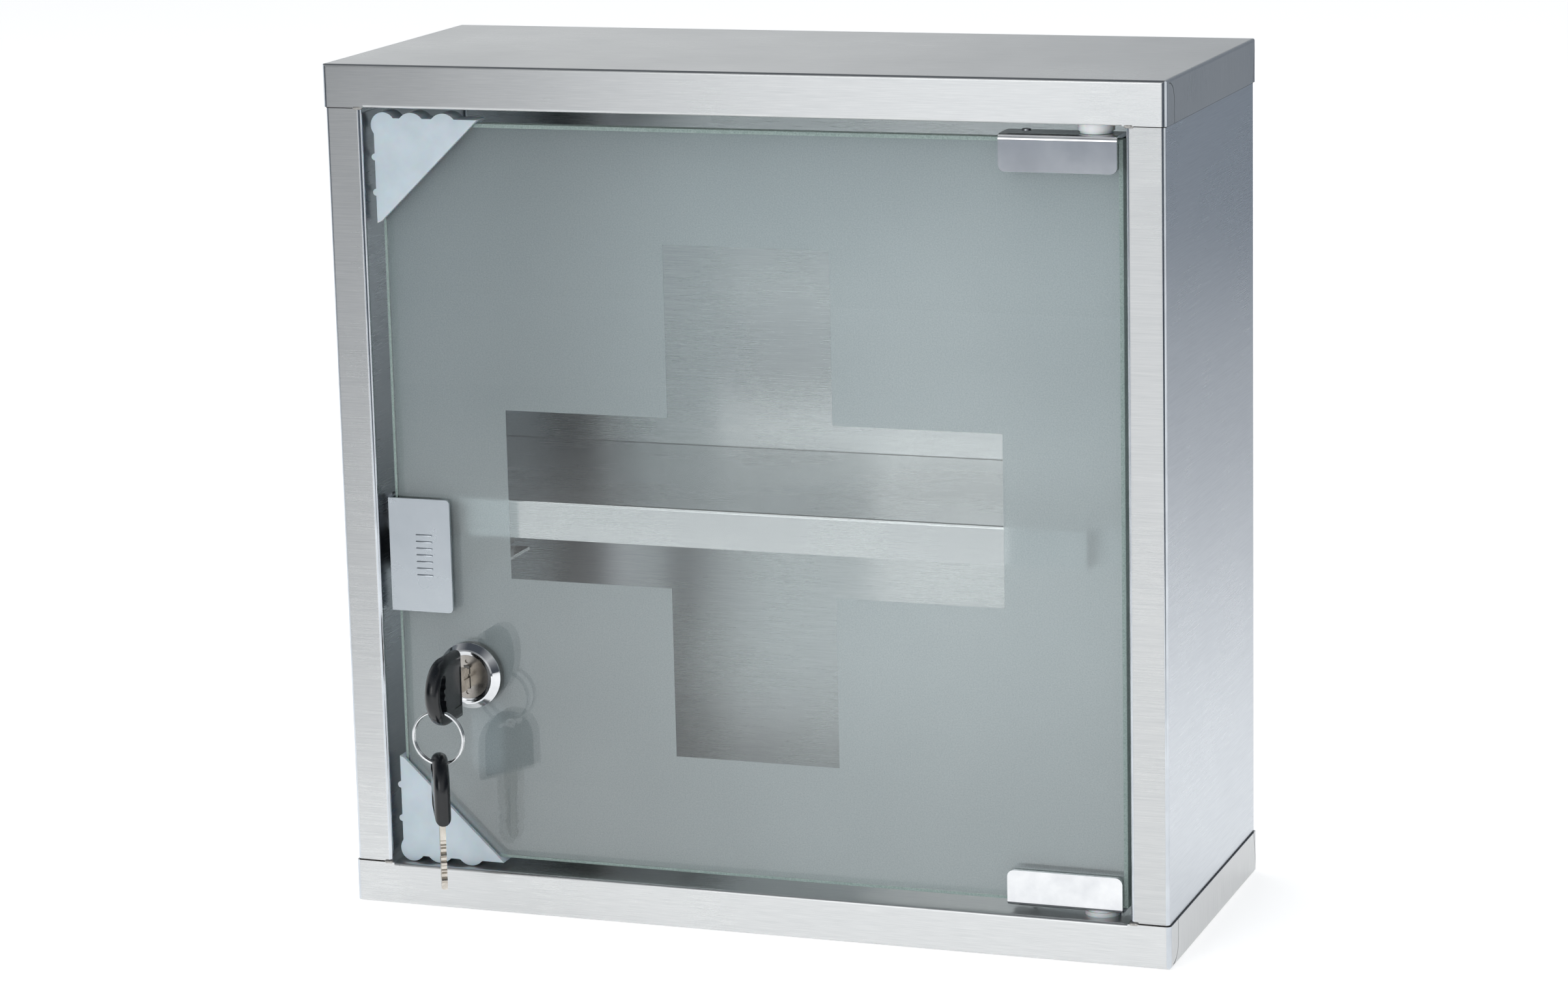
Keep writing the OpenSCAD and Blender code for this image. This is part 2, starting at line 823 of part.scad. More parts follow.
module bow_shape() {
    rim = bow_t / 2;
    mid = bow_r - bow_depth;
    panel_half = 0.5;
    panel_dip = 0.3;
    difference() {
        bow_body();
        // kidney slot for the ring
        translate([0, mid, 0]) rotate([0, 90, 0]) along_z(-bow_t, bow_t)
            polygon(concat(slot_outer(12), slot_end(1), slot_inner(36), slot_end(-1)));
        // shallow panel on each face
        for (s = [-1, 1])
            translate([s * (rim + panel_half - panel_dip), -5.2, 0])
                cube([2 * panel_half, 6, 14], center = true);
        // seat of the blade
        translate([-blade_t / 2, -blade_seat, -blade_h / 2]) cube([blade_t, blade_seat + 3, blade_h]);
    }
}

module blade_shape() {
    cut_pitch = 3;
    cuts = 6;
    neck = 4.2;
    tip = 3.4;
    half = blade_h / 2;
    difference() {
        along_x(-blade_t / 2, blade_t / 2) difference() {
            polygon([
                [-blade_seat, -half], [blade_len - tip, -half], [blade_len, -0.8], [blade_len, 0.8],
                [blade_len - tip, half], [-blade_seat, half]
            ]);
            for (i = [0:cuts - 1], s = [-1, 1]) {
                depth = 0.5 + 0.35 * ((i * 2 + (s > 0 ? 1 : 0)) % 3);
                y = neck + 4 + cut_pitch * i;
                translate([y, s * half]) polygon([
                    [-0.5 - depth, s * 0.1], [-0.5, -s * depth],
                    [0.5, -s * depth], [0.5 + depth, s * 0.1]
                ]);
            }
        }
        for (s = [-1, 1])
            translate([s * blade_t / 2 - 0.4, neck, s * 0.6 - 0.7]) cube([0.8, blade_len, 1.4]);
    }
}

module in_lock() {
    translate([-lock_x, back(key_y), lock_z]) children();
}

module on_ring() {
    translate([-lock_x, back(key_slot_y), spare_shoulder_z]) rotate([0, 0, spare_yaw])
        rotate([-90, 0, 0]) children();
}

module key_bow() {
    color("black") in_lock() bow_shape();
}

module key_blade() {
    color("silver") in_lock() blade_shape();
}

module spare_key_bow() {
    color("black") on_ring() bow_shape();
}

module spare_key_blade() {
    color("silver") on_ring() blade_shape();
}

// Split ring: two turns of round wire side by side, threaded through both bows
module key_ring() {
    color("lightgray") translate([-lock_x, back(key_slot_y), ring_z]) rotate([90, 0, 0])
        for (s = [-1, 1])
            translate([0, 0, s * wire_r * 0.9]) rotate_extrude()
                translate([ring_r, 0]) circle(wire_r, $fn = 24);
}

// Angle bracket for the latch, welded to the left side wall
module latch_bracket() {
    x0 = -body_half_w + sheet;
    x1 = -latch_x + housing_w / 2 + lug_w;
    z1 = latch_z - housing_h / 2;
    color("silver") difference() {
        union() {
            translate([x0, back(bracket_y0), z1 - bracket_t]) cube([x1 - x0, bracket_len, bracket_t]);
            translate([x0, back(bracket_y0), z1 - 14]) cube([bracket_t, bracket_len, 14]);
        }
        for (s = [-1, 1])
            translate([-latch_x + s * (housing_w + lug_w) / 2, back(lug_mid), z1 - 3])
                cylinder(r = 1.5, h = 5);
    }
}

// Plastic latch body: square front guide, lugs on both sides, and a bore for the plunger
module latch_housing() {
    z0 = latch_z - housing_h / 2;
    color("gainsboro") difference() {
        union() {
            along_y(back(housing_front), back(housing_front + housing_len))
                round_rect(-latch_x - housing_w / 2, z0, -latch_x + housing_w / 2, z0 + housing_h, 1.5);
            along_z(z0, z0 + lug_t)
                round_rect(
                    -latch_x - housing_w / 2 - lug_w, back(lug_mid) - 6,
                    -latch_x + housing_w / 2 + lug_w, back(lug_mid) + 6, 2
                );
        }
        translate([-latch_x, 0, latch_z])
            rod_y(plunger_r + 0.2, back(housing_front - 1), back(housing_front + bore_len));
        for (s = [-1, 1])
            translate([-latch_x + s * (housing_w + lug_w) / 2, back(lug_mid), z0 - 1])
                cylinder(r = 1.5, h = 5);
    }
}

module latch_screws() {
    z0 = latch_z - housing_h / 2;
    color("gray")
        for (s = [-1, 1])
            translate([-latch_x + s * (housing_w + lug_w) / 2, back(lug_mid), z0]) difference() {
                union() {
                    translate([0, 0, -4]) cylinder(r = 1.5, h = 4 + lug_t + eps);
                    translate([0, 0, lug_t]) cylinder(r1 = 2.9, r2 = 2.2, h = 1.8);
                }
                for (a = [0, 90])
                    rotate(a) translate([-1.6, -0.3, lug_t + 0.9]) cube([3.2, 0.6, 2]);
            }
}

// Sprung plunger with a magnet in its nose and a stem for the spring
module latch_plunger() {
    nose = strike_back + magnet_gap;
    stem = housing_front + bore_len - latch_stroke - bore_end_gap;
    color("white") translate([-latch_x, 0, latch_z]) difference() {
        union() {
            rod_y(plunger_r, back(nose), back(plunger_end));
            rod_y(stem_r, back(plunger_end) - eps, back(stem));
        }
        rod_y(magnet_r, back(nose - 1), back(nose + magnet_t));
    }
}

module latch_magnet() {
    nose = strike_back + magnet_gap;
    color("dimgray") translate([-latch_x, 0, latch_z])
        rod_y(magnet_r, back(nose), back(nose + magnet_t));
}

// Compression spring round the plunger's stem, wound as one tube
function coil_centre(i) = let (turn = 360 * i / coil_rings)
    [coil_r * cos(turn), coil_pitch * i / coil_rings, coil_r * sin(turn)];

module latch_spring() {
    rings = coil_count * coil_rings;
    points = [
        for (i = [0:rings], k = [0:coil_sides - 1])
            let (turn = 360 * i / coil_rings, side = 360 * k / coil_sides, out = coil_wire_r * cos(side))
            coil_centre(i) + [out * cos(turn), coil_wire_r * sin(side), out * sin(turn)]
    ];
    walls = [
        for (i = [0:rings - 1], k = [0:coil_sides - 1], half = [0, 1])
            let (a = i * coil_sides, b = a + coil_sides, next = (k + 1) % coil_sides)
            half == 0 ? [a + k, b + next, a + next] : [a + k, b + k, b + next]
    ];
    ends = [
        for (k = [1:coil_sides - 2], end = [0, rings * coil_sides])
            end == 0 ? [0, k, k + 1] : [end, end + k + 1, end + k]
    ];
    gaps = [
        for (i = [0:rings], j = [i + coil_rings / 2:rings])
            norm(coil_centre(i) - coil_centre(j)) - 2 * coil_wire_r
    ];
    echo(least_gap_between_coils = min(gaps));
    color("silver") translate([-latch_x, back(plunger_end + coil_wire_r + coil_end_gap), latch_z])
        polyhedron(points, concat(walls, ends));
}

left_side();
right_side();
back_panel();
top_cap();
bottom_cap();
corner_welds();
shelf();
upper_bush();
lower_bush();
latch_bracket();
latch_housing();
latch_screws();
latch_plunger();
latch_magnet();
latch_spring();
glass_pane();
frosted_film();
upper_clip();
lower_clip();
upper_pin();
lower_pin();
clip_pads();
pressure_plates();
clip_screws();
strike_plate();
strike_liner();
upper_corner_guard();
lower_corner_guard();
lock_body();
lock_gaskets();
lock_nut();
lock_plug();
lock_cam();
cam_screw();
key_bow();
key_blade();
key_ring();
spare_key_bow();
spare_key_blade();
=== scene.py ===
"""Lockable medicine cabinet: a brushed stainless case, a frosted glass door, a cam lock and keys."""

import json
import logging
import math
from dataclasses import dataclass
from enum import Enum
from typing import Any

import bmesh
import bpy
from mathutils import Matrix, Quaternion, Vector

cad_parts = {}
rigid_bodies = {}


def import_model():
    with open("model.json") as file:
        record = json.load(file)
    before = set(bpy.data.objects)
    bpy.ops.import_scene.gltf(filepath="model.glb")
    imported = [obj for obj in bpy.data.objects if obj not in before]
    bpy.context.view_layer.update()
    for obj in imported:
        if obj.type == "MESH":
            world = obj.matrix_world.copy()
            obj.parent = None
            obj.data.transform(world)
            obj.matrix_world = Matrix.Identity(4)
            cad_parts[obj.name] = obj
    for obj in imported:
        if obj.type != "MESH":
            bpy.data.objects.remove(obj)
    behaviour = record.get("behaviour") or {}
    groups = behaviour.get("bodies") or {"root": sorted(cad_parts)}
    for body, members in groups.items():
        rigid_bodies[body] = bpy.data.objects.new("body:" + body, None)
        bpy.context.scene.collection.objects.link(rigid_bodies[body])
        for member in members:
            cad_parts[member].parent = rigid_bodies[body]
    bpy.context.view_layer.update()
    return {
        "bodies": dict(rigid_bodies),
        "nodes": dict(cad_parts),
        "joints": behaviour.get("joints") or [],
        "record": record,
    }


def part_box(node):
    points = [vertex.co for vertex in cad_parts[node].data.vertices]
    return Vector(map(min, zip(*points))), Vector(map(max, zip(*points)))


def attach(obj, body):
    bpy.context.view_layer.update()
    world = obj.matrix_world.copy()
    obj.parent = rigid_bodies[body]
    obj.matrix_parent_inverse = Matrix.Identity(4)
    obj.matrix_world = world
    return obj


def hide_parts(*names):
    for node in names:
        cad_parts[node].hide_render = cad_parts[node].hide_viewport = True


LOG = logging.getLogger("cabinet")
MM = 0.001
GLASS_IOR = 1.52

Colour = tuple[float, float, float, float]


# ---------------------------------------------------------------- node and mesh helpers


def linear(code: str) -> Colour:
    """Turns an sRGB colour into Blender's linear one.

    Args:
        code: A colour such as "#c9c9c6".

    Returns:
        Linear red, green, blue and an alpha of one.
    """
    parts = [int(code[i : i + 2], 16) / 255 for i in (1, 3, 5)]
    red, green, blue = (c / 12.92 if c <= 0.04045 else ((c + 0.055) / 1.055) ** 2.4 for c in parts)
    return (red, green, blue, 1.0)


def add_node(tree: bpy.types.NodeTree, kind: str, values: dict | None = None, **settings: Any) -> Any:
    """Adds one shader node with its settings and links.

    Args:
        tree: The node tree that gets the node.
        kind: Blender's name for the kind of node.
        values: Input name or number against a constant, or against the socket that feeds it.
        **settings: Properties of the node itself, such as operation="MULTIPLY".

    Returns:
        The new node.
    """
    node = tree.nodes.new(kind)
    for key, value in settings.items():
        setattr(node, key, value)
    for key, value in (values or {}).items():
        if isinstance(value, bpy.types.NodeSocket):
            tree.links.new(value, node.inputs[key])
        else:
            node.inputs[key].default_value = value
    return node


def new_tree(name: str) -> tuple[bpy.types.Material, bpy.types.NodeTree, Any]:
    """Starts a material.

    Args:
        name: The material's name.

    Returns:
        The material, its emptied node tree and its output node.
    """
    material = bpy.data.materials.new(name)
    material.use_nodes = True
    tree = material.node_tree
    tree.nodes.clear()
    return material, tree, add_node(tree, "ShaderNodeOutputMaterial")


def noise(tree: bpy.types.NodeTree, size_mm: tuple[float, float, float], detail: float = 2.0) -> Any:
    """Adds noise whose grains have a real size along each axis of the part.

    Args:
        tree: The node tree that gets the nodes.
        size_mm: Length of a grain along X, Y and Z.
        detail: How many finer layers the noise holds.

    Returns:
        The socket that carries the noise, from 0 to 1.
    """
    place = add_node(tree, "ShaderNodeTexCoord").outputs["Object"]
    scale = tuple(1 / (s * MM) for s in size_mm)
    place = add_node(tree, "ShaderNodeMapping", {"Vector": place, "Scale": scale}).outputs["Vector"]
    settings = {"Vector": place, "Scale": 1.0, "Detail": detail, "Roughness": 0.55}
    return add_node(tree, "ShaderNodeTexNoise", settings).outputs["Fac"]


def ranged(tree: bpy.types.NodeTree, value: Any, low: float, high: float, span: tuple = (0.3, 0.7)) -> Any:
    """Adds a map from a noise's usual span to a range.

    Args:
        tree: The node tree that gets the node.
        value: The socket to map.
        low: What the span's lower end becomes.
        high: What the span's upper end becomes.
        span: The part of the input that is used.

    Returns:
        The mapped socket.
    """
    settings = {"Value": value, "From Min": span[0], "From Max": span[1], "To Min": low, "To Max": high}
    return add_node(tree, "ShaderNodeMapRange", settings).outputs["Result"]


def blend_colours(tree: bpy.types.NodeTree, share: Any, first: str, second: str) -> Any:
    """Adds a mix of two sRGB colours.

    Args:
        tree: The node tree that gets the node.
        share: The socket with the second colour's share.
        first: The colour at a share of zero.
        second: The colour at a share of one.

    Returns:
        The mixed colour's socket.
    """
    node = add_node(tree, "ShaderNodeMix", data_type="RGBA")
    tree.links.new(share, node.inputs[0])
    node.inputs[6].default_value = linear(first)
    node.inputs[7].default_value = linear(second)
    return node.outputs[2]


def bump(tree: bpy.types.NodeTree, height: Any, depth_mm: float, strength: float = 1.0) -> Any:
    """Adds a bump of a real depth.

    Args:
        tree: The node tree that gets the node.
        height: The socket with the height, from 0 to 1.
        depth_mm: Depth of the relief between 0 and 1.
        strength: How much of the relief is used.

    Returns:
        The normal's socket.
    """
    settings = {"Height": height, "Distance": depth_mm * MM, "Strength": strength}
    return add_node(tree, "ShaderNodeBump", settings).outputs["Normal"]


def pass_lamps(tree: bpy.types.NodeTree, shader: Any, tint: str, output: Any) -> None:
    """Sends a see-through shader to the output, and lets the lamps' light go through it tinted.

    Args:
        tree: The node tree that gets the nodes.
        shader: The shader that the camera sees.
        tint: The sRGB colour that lamp light takes on.
        output: The material's output node.
    """
    passing = add_node(tree, "ShaderNodeBsdfTransparent", {"Color": linear(tint)})
    shadow = add_node(tree, "ShaderNodeLightPath").outputs["Is Shadow Ray"]
    mix = add_node(tree, "ShaderNodeMixShader", {0: shadow, 1: shader.outputs[0], 2: passing.outputs[0]})
    tree.links.new(mix.outputs[0], output.inputs[0])


# ---------------------------------------------------------------- finishes


class Grain(Enum):
    """Direction of the brushing on a sheet."""

    ACROSS = (1.0, 0.0, 0.0)
    INWARD = (0.0, 1.0, 0.0)
    UPRIGHT = (0.0, 0.0, 1.0)


@dataclass(frozen=True)
class Finish:
    """A surface as it leaves the workshop."""

    name: str

    def build(self) -> bpy.types.Material:
        """Makes the material, in each kind of finish."""
        raise NotImplementedError


@dataclass(frozen=True)
class BrushedStainless(Finish):
    """Stainless steel 1.4301, belt brushed in one direction.

    The belt leaves fine parallel lines. They smear reflections across the grain into soft bands
    and keep them sharp along it, and the steel has faint cloudy patches where the belt wore.
    """

    grain: Grain = Grain.ACROSS
    dark: str = "#bfc1c2"
    light: str = "#d1d2d2"
    gloss: float = 0.28
    relief: float = 0.08
    # Real belt lines are about 0.05 mm wide. They are drawn 0.25 mm wide here so that they show.
    line_mm: tuple[float, float] = (12.0, 0.25)
    band_mm: tuple[float, float] = (120.0, 1.2)
    band_share: float = 0.2
    cloud_mm: float = 55.0
    line_depth_mm: float = 0.001
    stretch: float = 0.75
    edge_smear: tuple[float, float, float] = (0.001, 0.0013, 0.0017)

    def along_grain(self, size_mm: tuple[float, float]) -> tuple[float, ...]:
        """Turns a length and a width into sizes along X, Y and Z, with the length along the grain."""
        return tuple(size_mm[0] if a else size_mm[1] for a in self.grain.value)

    def build(self) -> bpy.types.Material:
        """Makes the material, with its lines along the grain.

        Returns:
            The brushed steel.
        """
        material, tree, output = new_tree(self.name)
        fine = noise(tree, self.along_grain(self.line_mm), 3.0)
        broad = noise(tree, self.along_grain(self.band_mm), 2.0)
        cloud = noise(tree, (self.cloud_mm,) * 3, 2.0)
        settings = {0: broad, 1: self.band_share, 2: fine}
        lines = add_node(tree, "ShaderNodeMath", settings, operation="MULTIPLY_ADD").outputs[0]
        lines = ranged(tree, lines, 0.0, 1.0, (0.35, 0.85))
        colour = blend_colours(tree, lines, self.dark, self.light)
        rough = ranged(tree, lines, self.gloss + 0.02, self.gloss - 0.01, (0.0, 1.0))
        worn = ranged(tree, cloud, -0.015, 0.02)
        rough = add_node(tree, "ShaderNodeMath", {0: rough, 1: worn}, operation="ADD").outputs[0]
        normal = bump(tree, lines, self.line_depth_mm, self.relief)
        facing = add_node(tree, "ShaderNodeNewGeometry").outputs["Normal"]
        settings = {0: facing, 1: self.grain.value}
        smear = add_node(tree, "ShaderNodeVectorMath", settings, operation="CROSS_PRODUCT").outputs[0]
        # On a cut edge, where the grain ends, the smear still needs some direction.
        settings = {0: smear, 1: self.edge_smear}
        smear = add_node(tree, "ShaderNodeVectorMath", settings, operation="ADD").outputs[0]
        shader = add_node(tree, "ShaderNodeBsdfPrincipled", {
            "Base Color": colour, "Metallic": 1.0, "Roughness": rough, "Normal": normal,
            "Anisotropic": self.stretch, "Tangent": smear,
        })
        tree.links.new(shader.outputs[0], output.inputs[0])
        return material


@dataclass(frozen=True)
class PlatedMetal(Finish):
    """A plated, ground or turned metal whose marks have no direction.

    Plating shows the faint waviness of what lies under it, with dull spots where it was handled.
    """

    dark: str = "#c9cbce"
    light: str = "#e4e5e6"
    gloss: float = 0.06
    spread: float = 0.03
    wave_mm: float = 6.0
    relief_mm: float = 0.001
    marks_per_wave: float = 2.5

    def build(self) -> bpy.types.Material:
        """Makes the material.

        Returns:
            The plated or turned metal.
        """
        material, tree, output = new_tree(self.name)
        waves = noise(tree, (self.wave_mm,) * 3, 2.0)
        marks = noise(tree, (self.wave_mm * self.marks_per_wave,) * 3, 5.0)
        colour = blend_colours(tree, ranged(tree, marks, 0.0, 1.0), self.dark, self.light)
        rough = ranged(tree, marks, self.gloss + self.spread, self.gloss)
        shader = add_node(tree, "ShaderNodeBsdfPrincipled", {
            "Base Color": colour, "Metallic": 1.0, "Roughness": rough,
            "Normal": bump(tree, waves, self.relief_mm, 0.6),
        })
        tree.links.new(shader.outputs[0], output.inputs[0])
        return material


@dataclass(frozen=True)
class MilledNickel(Finish):
    """Nickel plated brass, milled and tumbled, as keys and cylinders are.

    Warm grey, with the cutter's fine parallel marks under the plate.
    """

    dark: str = "#b5afa6"
    light: str = "#cfcac2"
    gloss: float = 0.24
    marks_mm: tuple[float, float, float] = (6.0, 0.25, 6.0)
    stain_mm: float = 4.0
    cut_depth_mm: float = 0.006

    def build(self) -> bpy.types.Material:
        """Makes the material.

        Returns:
            The milled metal.
        """
        material, tree, output = new_tree(self.name)
        cuts = noise(tree, self.marks_mm, 2.0)
        stain = noise(tree, (self.stain_mm,) * 3, 3.0)
        colour = blend_colours(tree, ranged(tree, stain, 0.0, 1.0), self.dark, self.light)
        shader = add_node(tree, "ShaderNodeBsdfPrincipled", {
            "Base Color": colour, "Metallic": 1.0,
            "Roughness": ranged(tree, cuts, self.gloss + 0.1, self.gloss),
            "Normal": bump(tree, cuts, self.cut_depth_mm, 0.5),
        })
        tree.links.new(shader.outputs[0], output.inputs[0])
        return material


@dataclass(frozen=True)
class FloatGlass(Finish):
    """Clear float glass: a faint green cast, sharp reflections of what stands before it."""

    tint: str = "#f5f8f8"
    # Fire-polished float glass is never quite flat: long, very shallow waves.
    wave_mm: float = 70.0
    wave_depth_mm: float = 0.02

    def build(self) -> bpy.types.Material:
        """Makes the material. Rays from lamps pass, as they do through real glass.

        Returns:
            The clear glass.
        """
        material, tree, output = new_tree(self.name)
        waves = noise(tree, (self.wave_mm,) * 3, 1.0)
        shader = add_node(tree, "ShaderNodeBsdfPrincipled", {
            "Base Color": linear(self.tint), "Roughness": 0.0, "IOR": GLASS_IOR,
            "Transmission Weight": 1.0, "Normal": bump(tree, waves, self.wave_depth_mm, 0.2),
        })
        pass_lamps(tree, shader, self.tint, output)
        return material


@dataclass(frozen=True)
class GroundEdge(Finish):
    """The arris and edge of the glass, ground and half polished: paler, greener and matt."""

    dark: str = "#8fa7a0"
    light: str = "#c3d3ce"
    grit_mm: float = 0.5
    grit_depth_mm: float = 0.03
    clear: float = 0.45

    def build(self) -> bpy.types.Material:
        """Makes the material.

        Returns:
            The ground glass.
        """
        material, tree, output = new_tree(self.name)
        grit = noise(tree, (self.grit_mm,) * 3, 3.0)
        shader = add_node(tree, "ShaderNodeBsdfPrincipled", {
            "Base Color": blend_colours(tree, ranged(tree, grit, 0.0, 1.0), self.dark, self.light),
            "Roughness": ranged(tree, grit, 0.5, 0.3), "IOR": GLASS_IOR, "Transmission Weight": self.clear,
            "Normal": bump(tree, grit, self.grit_depth_mm, 0.4),
        })
        pass_lamps(tree, shader, self.light, output)
        return material


@dataclass(frozen=True)
class FrostedLayer(Finish):
    """The etched back of the glass: it spreads light, hides what lies behind and sparkles finely."""

    dark: str = "#cfd7d9"
    light: str = "#f2f5f6"
    passed: str = "#e4e9eb"
    # Etched pits are about 0.1 mm wide. They are drawn 0.45 mm wide so that the speckle shows.
    pit_mm: float = 0.45
    pit_depth_mm: float = 0.02
    cloud_mm: float = 40.0
    cloud_share: float = 0.08
    haze: float = 0.55
    clear: float = 0.86
    # Lower than that of solid glass, because the layer is thin and full of pits.
    ior: float = 1.3

    def build(self) -> bpy.types.Material:
        """Makes the material. Part of the lamps' light passes, softened.

        Returns:
            The frosting.
        """
        material, tree, output = new_tree(self.name)
        pits = noise(tree, (self.pit_mm,) * 3, 2.0)
        cloud = noise(tree, (self.cloud_mm,) * 3, 1.0)
        settings = {0: cloud, 1: self.cloud_share, 2: pits}
        both = add_node(tree, "ShaderNodeMath", settings, operation="MULTIPLY_ADD").outputs[0]
        colour = blend_colours(tree, ranged(tree, both, 0.0, 1.0, (0.35, 0.75)), self.dark, self.light)
        shader = add_node(tree, "ShaderNodeBsdfPrincipled", {
            "Base Color": colour, "Roughness": self.haze, "IOR": self.ior,
            "Transmission Weight": self.clear, "Normal": bump(tree, pits, self.pit_depth_mm, 0.3),
        })
        pass_lamps(tree, shader, self.passed, output)
        return material


@dataclass(frozen=True)
class MouldedPlastic(Finish):
    """An injection moulded plastic with the tool's fine skin.

    Soft highlights, slightly uneven gloss, and a little light carried under the skin.
    """

    dark: str = "#d9dcde"
    light: str = "#eceeef"
    gloss: float = 0.4
    grain_mm: float = 0.6
    relief_mm: float = 0.01
    depth_mm: float = 0.0
    clear: float = 0.0
    flow_mm: float = 9.0

    def build(self) -> bpy.types.Material:
        """Makes the material.

        Returns:
            The plastic.
        """
        material, tree, output = new_tree(self.name)
        skin = noise(tree, (self.grain_mm,) * 3, 3.0)
        flow = noise(tree, (self.flow_mm,) * 3, 2.0)
        shader = add_node(tree, "ShaderNodeBsdfPrincipled", {
            "Base Color": blend_colours(tree, ranged(tree, flow, 0.0, 1.0), self.dark, self.light),
            "Roughness": ranged(tree, skin, self.gloss + 0.08, self.gloss - 0.04), "IOR": 1.5,
            "Subsurface Weight": 0.6 if self.depth_mm else 0.0,
            "Subsurface Scale": max(self.depth_mm, 0.1) * MM,
            "Transmission Weight": self.clear,
            "Normal": bump(tree, skin, self.relief_mm, 0.5),
        })
        tree.links.new(shader.outputs[0], output.inputs[0])
        return material


@dataclass(frozen=True)
class WeldBead(Finish):
    """A small weld, left as it cooled: grey brown, rippled, with a dark rim of heat."""

    dark: str = "#8b8a88"
    light: str = "#b4b2ae"
    ripple_mm: float = 0.8
    ripple_depth_mm: float = 0.1

    def build(self) -> bpy.types.Material:
        """Makes the material.

        Returns:
            The weld metal.
        """
        material, tree, output = new_tree(self.name)
        ripple = noise(tree, (self.ripple_mm,) * 3, 4.0)
        shader = add_node(tree, "ShaderNodeBsdfPrincipled", {
            "Base Color": blend_colours(tree, ranged(tree, ripple, 0.0, 1.0), self.dark, self.light),
            "Metallic": 1.0, "Roughness": ranged(tree, ripple, 0.5, 0.3),
            "Normal": bump(tree, ripple, self.ripple_depth_mm, 0.8),
        })
        tree.links.new(shader.outputs[0], output.inputs[0])
        return material


class Library:
    """The finishes, each made once."""

    def __init__(self) -> None:
        """Starts with nothing made."""
        self.made: dict[str, bpy.types.Material] = {}

    def get(self, finish: Finish) -> bpy.types.Material:
        """Makes a finish's material, or gives the one already made.

        Args:
            finish: The finish to look up.

        Returns:
            Its material.
        """
        if finish.name not in self.made:
            self.made[finish.name] = finish.build()
        return self.made[finish.name]


# The case's sheets: one steel, brushed along each sheet before it was folded. Some copies have their base
# colours shifted to paint light, shade and reflection, as noted below.
CAP_STEEL = BrushedStainless("stainless_brushed_across", Grain.ACROSS)
TAB_STEEL = BrushedStainless("stainless_brushed_tab", Grain.UPRIGHT)
# Painted reflection: the side's base colours are set bluer than the cap steel's, as the sheet mirrors cool
# surroundings.
SIDE_STEEL_COOL_TINT = BrushedStainless("stainless_brushed_inward_painted_cool_tint", Grain.INWARD, "#bbc0c6", "#c8cdd2", relief=0.02)
STILE_STEEL = BrushedStainless("stainless_brushed_stile", Grain.ACROSS)
# Painted shade: the hinge stile's base colours are set darker than the cap steel's.
HINGE_STEEL_SHADED = BrushedStainless("stainless_brushed_hinge_stile_painted_shade", Grain.ACROSS, "#b3b5b6", "#c3c4c4")
# Painted light: the back's base colours are set paler than the cap steel's, to brighten the inside seen
# through the glass.
BACK_STEEL_LIT = BrushedStainless("stainless_brushed_back_painted_light", Grain.ACROSS, "#c4c6c7", "#d5d6d6", 0.26)
SHELF_STEEL = BrushedStainless("stainless_brushed_shelf", Grain.ACROSS, gloss=0.26)
# The press brake's tool burnishes the outside of each upright fold, which mirrors as a crisp line. Its base
# colours are set bluer and darker than the cap steel's, a painted cool reflection.
BEND_STEEL_COOL_TINT = PlatedMetal("stainless_bend_burnished_painted_tint", "#b4b9bf", "#c9ced3", 0.1, 0.04, 6.0, 0.0005)
# Fittings: a mirror chrome, a satin nickel that a blast under the plate makes, dull zinc, bare steel.
CHROME = PlatedMetal("bright_chrome_plate")
SATIN_PLATE = PlatedMetal("satin_nickel_plate", "#b2b9bf", "#bdc3c8", 0.26, 0.04, 9.0, 0.001)
ZINC = PlatedMetal("zinc_plated_steel", "#8f9296", "#b9bcc0", 0.3, 0.12, 0.8, 0.01)
TURNED = PlatedMetal("turned_steel", "#9b9da0", "#c4c6c8", 0.22, 0.1, 0.6, 0.008)
WIRE = PlatedMetal("polished_steel_wire", "#c2c4c6", "#dcdedf", 0.12, 0.08, 1.0, 0.006)
MAGNET = PlatedMetal("sintered_magnet", "#3a3b3d", "#55575a", 0.5, 0.15, 0.4, 0.02)
# Keys and plug: warm nickel over brass. The keyway's broached walls are painted near black, as shade in the
# deep slot.
NICKEL_KEY = MilledNickel("milled_nickel_key")
NICKEL_PLUG = MilledNickel("turned_nickel_plug", "#a29d97", "#bab6b0", 0.2, (5.0, 0.4, 5.0))
KEYWAY_SHADE = MilledNickel("keyway_painted_shade", "#24221f", "#34312d")
GLASS = FloatGlass("float_glass")
EDGE = GroundEdge("ground_glass_edge")
FROST = FrostedLayer("etched_frosting")
# Plastics: milky guards, white bushes, clear pads, a pale latch, black key bows, matt rubber.
GUARD = MouldedPlastic("polyethylene_milky", "#b8c5cd", "#c2ced6", 0.36, 1.2, 0.006, 2.0, 0.12)
NYLON = MouldedPlastic("nylon_natural_white", "#dcdfe1", "#f0f1f2", 0.38, 0.8, 0.01, 1.0)
PAD = MouldedPlastic("vinyl_pad_clear", "#b9c4c2", "#cdd6d4", 0.3, 0.8, 0.006, 0.0, 0.5)
LATCH_BODY = MouldedPlastic("acetal_pale_grey", "#c3c6c8", "#d3d5d6", 0.42, 0.7, 0.012)
KEY_BLACK = MouldedPlastic("abs_moulded_black", "#0c0e11", "#14171b", 0.2, 0.35, 0.0015)
RUBBER = MouldedPlastic("nitrile_rubber", "#131414", "#222324", 0.62, 0.5, 0.02)
# Welds: beads left as laid inside the opening. The dark line where a cap meets a side is painted shade for
# the hairline gap there, over the weld.
WELD = WeldBead("weld_as_laid")
SEAM_SHADE = WeldBead("seam_painted_shade", "#2b2a29", "#4a4846")


# ---------------------------------------------------------------- sub-assemblies


